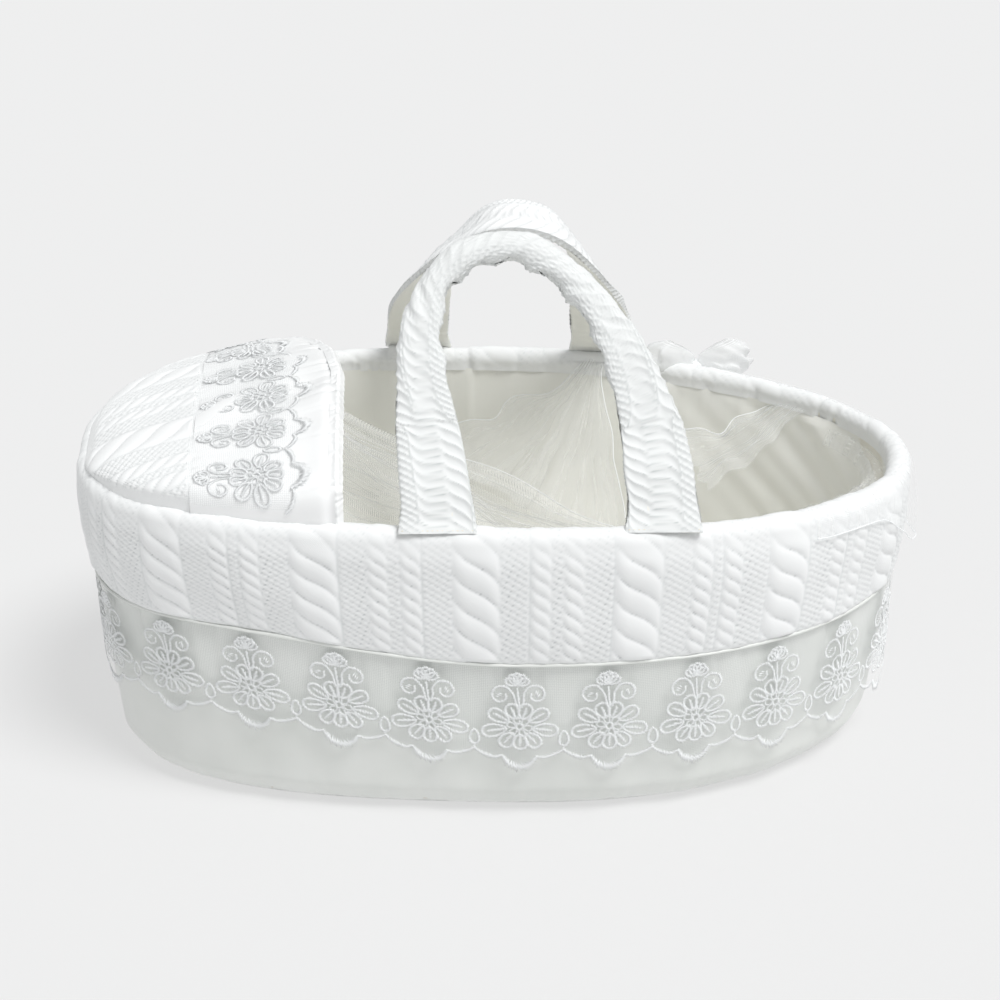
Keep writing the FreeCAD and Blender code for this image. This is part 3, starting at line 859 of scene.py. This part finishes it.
def pivot_frame(handle):
    left, right = (rim_point(np.float64(x), handle["side"]) for x in handle["feet"])
    along = unit(right - left)
    outward = unit(np.cross([0, 0, 1], along)) * handle["side"]
    upright = unit(np.array([0, 0, 1]) - along * along[2])
    middle = (left + right) / 2 + upright * 10.8
    lean = math.radians(handle["lean"])
    up = upright * math.cos(lean) - outward * math.sin(lean)
    out = outward * math.cos(lean) + upright * math.sin(lean)
    return middle, along, up, out


def strap_line(handle, stations):
    """Centres, width and face directions, sizes and lengths at even steps along the strap."""
    middle, along, up, out = pivot_frame(handle)
    half = (handle["feet"][1] - handle["feet"][0]) / 2
    turn = math.pi * (0.5 - 0.5 * np.cos(np.linspace(0, math.pi, 3001)))
    high = np.abs(np.sin(turn)) ** 0.8
    slide = -half * np.cos(turn) * (1 - 0.1 * high) + handle["apex"] * high ** 2
    slide -= handle["shoulder"] * np.maximum(0, np.sin(2 * turn))
    line = np.stack([slide, handle["rise"] * high], -1)
    foot = [[line[0, 0], -FOOT_DOWN]], [[line[-1, 0], -FOOT_DOWN]]
    line, high = np.concatenate([foot[0], line, foot[1]]), np.concatenate([[0], high, [0]])
    run = np.concatenate([[0], np.cumsum(np.hypot(*np.diff(line, axis=0).T))])
    at = np.linspace(0, run[-1], stations)
    a, h, high = (np.interp(at, run, values) for values in (line[:, 0], line[:, 1], high))
    centers = middle + along * a[:, None] + up * h[:, None]
    tangent = unit(np.gradient(centers, axis=0))
    across = unit(np.cross(out, tangent))
    share = smooth_step(high, 0.3 * handle["rolled"], 0.92)
    twist = np.radians(handle["twist"]) * share[:, None]
    wide_way = across * np.cos(twist) + out * np.sin(twist)
    face_way = out * np.cos(twist) - across * np.sin(twist)
    ends = smooth_step(np.minimum(at, run[-1] - at), 0, 34)
    wide = (STRAP_WIDE + 6 * (1 - ends)) * (1 - share) + handle["grip"][0] * share
    wide = wide - 9 * smooth_step(high, 0, 0.5) * (1 - share) * handle["rolled"]
    thick = (7 + (STRAP_THICK - 7) * ends) * (1 - share) + handle["grip"][1] * share
    return centers, wide_way, face_way, wide, thick, share, at


def strap_skin(handle, stations, sides, middle_turn, reach, shrink):
    """Rows round the section, columns along the strap. middle_turn and reach, in radians, say which part
    of the section is covered."""
    centers, wide_way, face_way, wide, thick, share, at = strap_line(handle, stations)
    round_share = share * handle["rolled"]
    shrink = shrink * (1 + 14 * round_share)
    q = np.linspace(-1, 1, sides)[:, None]
    turn = middle_turn(round_share)[None, :] + q * reach(round_share)[None, :]
    power = 2 / (5 - 2.8 * round_share)[None, :]
    w = np.sign(np.cos(turn)) * np.abs(np.cos(turn)) ** power * np.maximum(wide / 2 - shrink, 1)[None, :]
    f = np.sign(np.sin(turn)) * np.abs(np.sin(turn)) ** power * np.maximum(thick / 2 - shrink, 1)[None, :]
    points = centers[None] + wide_way[None] * w[..., None] + face_way[None] * f[..., None]
    across = np.cumsum(np.concatenate([np.zeros((1, stations)),
                                       np.linalg.norm(np.diff(points, axis=0), axis=-1)]), 0)
    across -= across[sides // 2]
    return points, across, turn, share[None, :], at[None, :]


def handle_knit(across, at):
    """Two columns of slanted lobes up the middle of the strap, the quilted ground at its sides."""
    height = diamonds(across, at)
    for side in (-1, 1):
        column = lobes(across - side * 12, at + side * 4, 11, 11, 10, 2.6)
        height = np.where(np.abs(across - side * 12) < 11, column, height)
    return height


def handle_pieces(handle):
    name, rolled = "handle_" + handle["name"], handle["rolled"]
    half_pi = math.pi / 2

    points, across, turn, share, at = strap_skin(
        handle, 560, 96, lambda r: half_pi * (1 - r), lambda r: math.pi * (0.6 + 0.41 * r), 0.0)
    ends = smooth_step(np.minimum(at, at.max() - at), 0, 12)
    grip = share * rolled
    knit = handle_knit(across, at)
    relief = knit * (1 - 0.55 * grip) * (0.25 + 0.75 * ends)
    inner = np.exp(-((np.abs(turn) - math.pi) / 0.55) ** 2)
    bumps = 2.5 + 3.0 * np.sin(2 * math.pi * at / 41 + 0.9) + 1.6 * ripples(at, 0 * at, 61, (16, 30))
    folds = ripples(at, 3 * across, 62, (6, 13)) * (0.45 + 1.1 * inner)
    soft = 1.6 * ripples(at, across, 63, (40, 90))
    relief = relief + grip * (inner * bumps + folds) + soft * (1 - 0.5 * grip) * ends
    relief += grip * 1.2 * ripples(at + 1.5 * across, across, 64, (14, 34))
    shaped = points + grid_normals(points) * relief[..., None]
    # The rolled near handle takes the darker knit copy: painted shade.
    cover = sheet_piece(name + "_knit", shaped, SHADED_STRAP_KNIT if rolled else KNIT, across, at,
                        hollow=hollows(knit, 1 - 0.5 * grip))

    points, across, turn, share, at = strap_skin(
        handle, 300, 30, lambda r: 0 * r - half_pi, lambda r: math.pi * (0.46 - 0.1 * r), 0.5)
    puckers = 1.3 * ripples(at, 0.3 * across, 65, (9, 26)) * (1 - 0.7 * smooth_step(np.abs(across), 0, 30))
    shaped = points + grid_normals(points) * (0.8 * puckers * (1 - share * rolled))[..., None]
    facing = sheet_piece(name + "_satin", shaped, LINING, across, at)

    for piece, slot, node in ((cover, "knit", "_cover"), (facing, "cream_satin", "_facing")):
        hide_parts(name + node)
        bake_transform(piece)
    feet(handle)


def feet(handle):
    """The sewn-down end of each strap: a folded tab over the rim and a row of stitches through it."""
    middle, along, up, out = pivot_frame(handle)
    name = "handle_" + handle["name"]
    half = (handle["feet"][1] - handle["feet"][0]) / 2
    tabs, stitches = [], []
    for sign in (-1, 1):
        foot = middle + along * sign * half
        w = np.linspace(-29, 29, 24)[None, :, None]
        bend = np.linspace(math.radians(62), math.radians(150), 9)[:, None, None]
        outward = unit(np.cross(along, [0, 0, 1])) * -handle["side"]
        ring = outward * np.cos(bend) + np.array([0, 0, 1]) * np.sin(bend)
        tabs.append((foot - [0, 0, 20.8]) + along * w + ring * 11.2)
        for k in range(15):
            middle_spot = foot + along * (-29 + 58 * k / 14) - up * (FOOT_DOWN - 2.5) + out * 2.6
            stitches.append((middle_spot - along * 1.3, middle_spot + along * 1.3))
    quads, _ = grid_faces(9, 24, False, handle["side"] < 0)
    points = np.concatenate([tab.reshape(-1, 3) for tab in tabs])
    ids = np.arange(9 * 24)
    cloth = np.tile(np.stack([ids % 24, ids // 24], -1)[quads] * 2.5 * MM, (2, 1, 1))
    tab_piece = mesh_piece(name + "_tab_fold", points, np.concatenate([quads, quads + 9 * 24]), KNIT, cloth)
    attach(tab_piece, "knit", name + "_tabs")
    points, faces = [], []
    for k, (a, b) in enumerate(stitches):
        side = up * 0.5
        face = out * 0.5
        points += [a, b, (a + b) / 2 + side, (a + b) / 2 + face, (a + b) / 2 - side, (a + b) / 2 - face]
        faces += [[6 * k + i for i in tri] for tri in
                  ((0, 2, 3), (0, 3, 4), (0, 4, 5), (0, 5, 2), (1, 3, 2), (1, 4, 3), (1, 5, 4), (1, 2, 5))]
    row = mesh_piece(name + "_stitches", np.array(points), faces, STITCH)
    attach(row, "thread", name + "_stitching")


# ---- the mattress ----
def mattress():
    s = round_tub(260)
    low, high = 12.5, 43.0
    side = np.linspace(0, math.pi, 12)[:, None]
    z = (low + high) / 2 - (high - low) / 2 * np.cos(side)
    bulge = 5 * np.sin(side)
    edge = wall(s, z, -RIM_WIDE - 7 + bulge)
    edge[..., 2] = z + 0 * s
    rings = [edge]
    for share in (0.97, 0.9, 0.8, 0.65, 0.5, 0.35, 0.2, 0.02):
        ring = edge[-1:] * [share, share, 1]
        ring[..., 2] += 7 * (1 - share ** 3) + 1.6 * ripples(ring[..., 0], ring[..., 1], 71, (60, 140))
        rings.append(ring)
    points = np.concatenate(rings)
    up = np.arange(len(points))[:, None] * 12.0
    piece = sheet_piece("mattress", points, TICKING, s, up, wrap=True, flip=True)
    pad(piece, 0.6, "cream_satin", "mattress_cover")


# ---- tulle ----
def pleats(t, seed, count, wide, low=0.0, high=1.0):
    """Uneven ridges across a sheet; t runs over its gathered edge from 0 to 1."""
    draw = np.random.default_rng(seed)
    total = np.zeros_like(t)
    for place in np.linspace(low, high, count) + draw.normal(0, 0.3 / count, count):
        total += draw.uniform(0.35, 1) * np.exp(-((t - place) / (wide * draw.uniform(0.6, 1.5))) ** 2)
    return total


def tulle(name, start, end, seed, count, depth, sag, flat, rests_on, hem, rows=150, cols=110):
    """A pleated sheet of the veil between two lines, start and end. depth is the pleats' height at the two
    lines, hem the edges that have a thread and how far. flat, its width in metres before it is gathered, is
    not used."""
    t = np.linspace(0, 1, rows)[:, None]
    r = np.linspace(0, 1, cols)[None, :]
    a, b = curve3(start, rows), curve3(end, rows)
    points = a[:, None] * (1 - r[..., None]) + b[:, None] * r[..., None]
    drift = t + 0.02 * ripples(r * 100, t * 20, seed, (60, 140))
    high = depth[0] * (1 - r) + depth[1] * r
    folds = pleats(drift, seed, count, 0.42 / count) * high
    folds += 0.5 * ripples(t * 400, r * 60, seed + 1, (9, 22))
    points[..., 2] += folds - sag * 4 * r * (1 - r) + 1.5 * ripples(r * 200, t * 90, seed + 2, (60, 120))
    normal = grid_normals(points)
    points += normal * 0.8 * folds[..., None] * np.sign(seed % 2 - 0.5)
    free = (1 - smooth_step(np.minimum(t, 1 - t), 0, 0.35)) * np.sin(math.pi * r) ** 0.5
    sway = min(1, np.linalg.norm(b[-1] - b[0]) / 120)
    aside = 14 * sway * free * ripples(r * 260, t * 50, seed + 3, (70, 150))
    onward = 11 * sway * r ** 2 * ripples(t * 300, r * 20, seed + 4, (60, 130))
    points += unit(b[-1] - b[0]) * aside[..., None]
    points += unit(b - a)[:, None] * onward[..., None]
    points[..., 2] += 4.5 * sway * np.sin(math.pi * r) * ripples(r * 240, t * 160, seed + 5, (50, 110))
    wide = np.linalg.norm(b[0] - b[-1]) + np.linalg.norm(a[0] - a[-1])
    piece = sheet_piece(name, points, TULLE, t * wide, r * 200)
    extras = []
    for k, (side, at) in enumerate(hem):
        path = {"end": points[:, -1], "low": points[0], "high": points[-1]}[side]
        path = path[int(at[0] * (len(path) - 1)):int(at[1] * (len(path) - 1)) + 1]
        extra = tube(name + "_hem_" + str(k), path, 0.45, HEM, sides=6)
        attach(extra, "tulle")
        extras.append(extra)
    soft(piece, points, flat, "gathered", rests_on, "veil_panel", extras)


def curve3(points, count):
    points = np.array(points, float)
    run = run_length(points)
    at = np.linspace(0, run[-1], 400)
    line = np.stack([np.interp(at, run, points[:, k]) for k in range(3)], -1)
    for _ in range(60):
        line[1:-1] = (line[:-2] + line[1:-1] * 2 + line[2:]) / 4
    pick = np.linspace(0, 399, count)
    return np.stack([np.interp(pick, np.arange(400), line[:, k]) for k in range(3)], -1)


def soft(piece, points, wide, held, rests_on, node, extras=()):
    """Attaches a sheet of tulle to the tub and hides the CAD node it replaces; wide, in metres, is not
    used.
    """
    attach(piece, "tulle", node)


def veil():
    mouth = [(-160, -180, 272), (-155, -120, 280), (-158, -40, 286), (-172, 60, 284), (-205, 150, 274)]
    near = [(70, -180, 264), (110, -140, 232), (150, -120, 214), (172, -96, 206)]
    tulle("veil_near", mouth, near, 81, 15, (9, 3), 16, 0.62, ["hood_satin"],
          hem=[("high", (0.3, 1))])
    mouth = [(-160, -170, 268), (-155, -60, 280), (-172, 60, 280), (-205, 150, 272)]
    hem = [(-52, -182, 264), (-36, -160, 244), (10, -150, 240), (44, -160, 242), (60, -180, 258)]
    tulle("veil_hem", mouth, hem, 84, 13, (8, 2), 10, 0.5, ["hood_satin"],
          hem=[("end", (0, 1))])
    foot = [(92, 171, 280), (98, 172, 282), (106, 172, 282), (112, 170, 278)]
    fan = [(-60, 120, 232), (-20, 60, 214), (30, -20, 204), (70, -60, 200), (112, -80, 204)]
    tulle("veil_far", foot, fan, 87, 9, (2, 5), 14, 0.4, ["lining"],
          hem=[("low", (0, 0.9)), ("high", (0, 0.8))])
    pin = [(290, 121, 266), (300, 116, 270), (308, 109, 267)]
    fan = [(176, 104, 236), (184, 70, 224), (198, 24, 212)]
    tulle("veil_pinned", pin, fan, 90, 6, (1.5, 4), 10, 0.25, ["lining"],
          hem=[("low", (0, 1))])


def end_sheet():
    """Tulle tucked over the near rim, inside it as a swag and outside as a flap over the open end."""
    s = np.linspace(150, 560, 260)[None, :]
    v = np.linspace(0, 1, 40)[:, None]
    fade = smooth_step(s, 150, 230) * (1 - smooth_step(s, 330, 560))
    reach = v * (8 + 36 * fade)
    points = wall(s, WALL_TOP - 1, -RIM_WIDE - 1 - reach)
    folds = 4.5 * np.abs(np.sin(2 * math.pi * (v * 2.2 + 0.25 * ripples(s, 0 * s, 95, (120, 260)))))
    folds = (folds + 1.6 * ripples(s, v * 60, 96, (25, 60))) * smooth_step(v, 0, 0.2)
    points[..., 2] += folds * (0.3 + 0.7 * fade) + 8 * fade * np.sin(math.pi * v)
    points[..., 2] -= 26 * v * v * (0.6 + 0.4 * fade)
    swag = sheet_piece("veil_swag", points, TULLE, s, v * 40)
    soft(swag, points, 0.45, "gathered", ["lining"], "veil_inner_swag")

    s = np.linspace(262, 800, 320)[None, :]
    v = np.linspace(0, 1, 60)[:, None]
    hem_drop = 12 + 56 * smooth_step(s, 330, 440) + 10 * np.sin((s - 430) / 40) * smooth_step(s, 430, 470)
    hem_drop = hem_drop * (1 - 0.75 * smooth_step(s, 600, 800))
    across = v * (hem_drop + 26) - 6
    over, down = np.clip(across, -6, 22), np.maximum(0, across - 22)
    bend = np.clip((22 - over) / 10, 0, math.pi)
    ring_z = 276 + 12.5 * np.sin(bend)
    stand = (4 + 9 * smooth_step(s, 400, 520) * (1 - smooth_step(s, 620, 780))) * smooth_step(across, 6, 60)
    inset = 10 * (1 - np.cos(bend))
    edge_z = 268
    base = wall(s, edge_z, -inset + 2.5 + stand)
    flare = 1.8 * ripples(s, 0.4 * across, 97, (26, 60)) * smooth_step(across, 10, 60)
    points = base + unit(base * [1, 1, 0]) * flare[..., None]
    points[..., 2] = base[..., 2] + ring_z - edge_z - down
    flap = sheet_piece("veil_flap", points, TULLE, s, across)
    hem = tube("veil_flap_hem", points[-1], 0.5, HEM, sides=6)
    attach(hem, "tulle")
    soft(flap, points, 0.48, "draped", ["knit_band"], "veil_end_drape", [hem])


def bow():
    x, z = 204.0, 270.0
    y = float(rim_y(np.float64(x), 1, 0)) + 4
    around = (np.arange(90) / 90 * 2 * math.pi)[None, :]
    w = np.linspace(-1, 1, 60)[:, None]
    rests = ["bow_band"]
    for side, which in ((-1, "left"), (1, "right")):
        away = (1 + np.cos(around)) / 2
        girth = np.maximum(0.02, 1 - np.abs(w) ** 2.6) ** 0.5
        crimp = 3.4 * ripples(around * 24, w * 32, 101 + side, (13, 28)) * (0.4 + away) * girth
        points = np.stack([x + side * (2 + (50 * away + crimp) * (0.45 + 0.55 * girth)),
                           y + (14 * girth + crimp) * np.sin(around) * (0.45 + 0.55 * away),
                           z + 8 + 21 * w * (0.45 + 0.55 * away ** 0.7) + 5 * away + 0.6 * crimp], -1)
        loop = sheet_piece("bow_loop_" + which, points, BOW_TULLE, w * 30, around * 25, wrap=True)
        soft(loop, points, 0.06, "gathered", rests, "bow_loops")
        v = np.linspace(0, 1, 50)[None, :]
        wide = 6 + 17 * v
        points = np.stack([x + side * (4 + 20 * v) + w * wide,
                           y + 3 + 2.5 * np.sin(w * 7 + side) + 4 * v,
                           z - 6 - 108 * v + 5 * w * v], -1)
        tail = sheet_piece("bow_tail_" + which, points, BOW_TULLE, w * 20, v * 110)
        soft(tail, points, 0.045, "hung", rests, "bow_tails")
    around = np.linspace(0, 2 * math.pi, 41)[None, :]
    up = np.linspace(-1, 1, 21)[:, None]
    size = np.sqrt(np.maximum(0.0004, 1 - up ** 4))
    crease = 1 + 0.07 * np.cos(9 * around + 2 * up)
    points = np.stack([x + 8 * size * np.cos(around) * crease, y + 3 + 8 * size * np.sin(around) * crease,
                       z + 1 + 11 * up + 0 * around], -1)
    knot = sheet_piece("bow_band", points, HEM, around * 8 + 0 * up, up * 11 + 0 * around)
    pad(knot, 0.5, "tulle", "bow_knot")


def inner_materials():
    """Materials for the CAD nodes that stay: the frame, foam and webbing inside the cloth."""
    board = plain_material("board", (0.55, 0.45, 0.33), (0.66, 0.56, 0.43), 60)
    wire = plain_material("wire", (0.6, 0.61, 0.62), (0.7, 0.71, 0.72), 80, 0.35, 0.9)
    webbing = plain_material("webbing", (0.86, 0.85, 0.8), (0.92, 0.91, 0.87), 300)
    kinds = {"base_board": board, "wall_foam": FOAM, "rim_foam": FOAM, "rim_wire": wire,
             "mattress_foam": FOAM, "handle_near_webbing": webbing, "handle_far_webbing": webbing}
    for piece in bpy.data.objects:
        if piece.type == "MESH" and piece.name in kinds:
            piece.data.materials.clear()
            piece.data.materials.append(kinds[piece.name])


# ---- floor and light ----
def set_stage():
    """A pale floor, a soft sky and one wide light from above the near right."""
    sky_light, sun_light, shines = 0.52, 2.1, Vector((-0.38, 0.36, -1))
    bpy.ops.mesh.primitive_plane_add(size=40)
    floor = bpy.context.object
    floor.name = "floor"
    shade = Shader("floor", (0.3, 0.3, 0.3), 0.9)
    shade.shader.inputs["Emission Color"].default_value = (0.88, 0.88, 0.88, 1)
    shade.shader.inputs["Emission Strength"].default_value = 0.6
    shade.shader.inputs["Specular IOR Level"].default_value = 0.0
    floor.data.materials.append(shade.material)
    scene = bpy.context.scene
    scene.view_settings.view_transform = "Standard"
    scene.world = scene.world or bpy.data.worlds.new("world")
    scene.world.use_nodes = True
    background = scene.world.node_tree.nodes["Background"]
    background.inputs["Color"].default_value = (0.985, 0.995, 1.0, 1)
    background.inputs["Strength"].default_value = sky_light
    sun = bpy.data.objects.new("sun", bpy.data.lights.new("sun", "SUN"))
    sun.data.energy = sun_light
    sun.data.angle = math.radians(24)
    sun.rotation_euler = shines.to_track_quat("-Z", "Y").to_euler()
    scene.collection.objects.link(sun)


for build in (add_camera, set_stage, knit_band, satin_skirt, seam_piping, lining, lace_trim, hood):
    build()
for handle in (NEAR, FAR):
    handle_pieces(handle)
for build in (mattress, veil, end_sheet, bow, inner_materials):
    build()
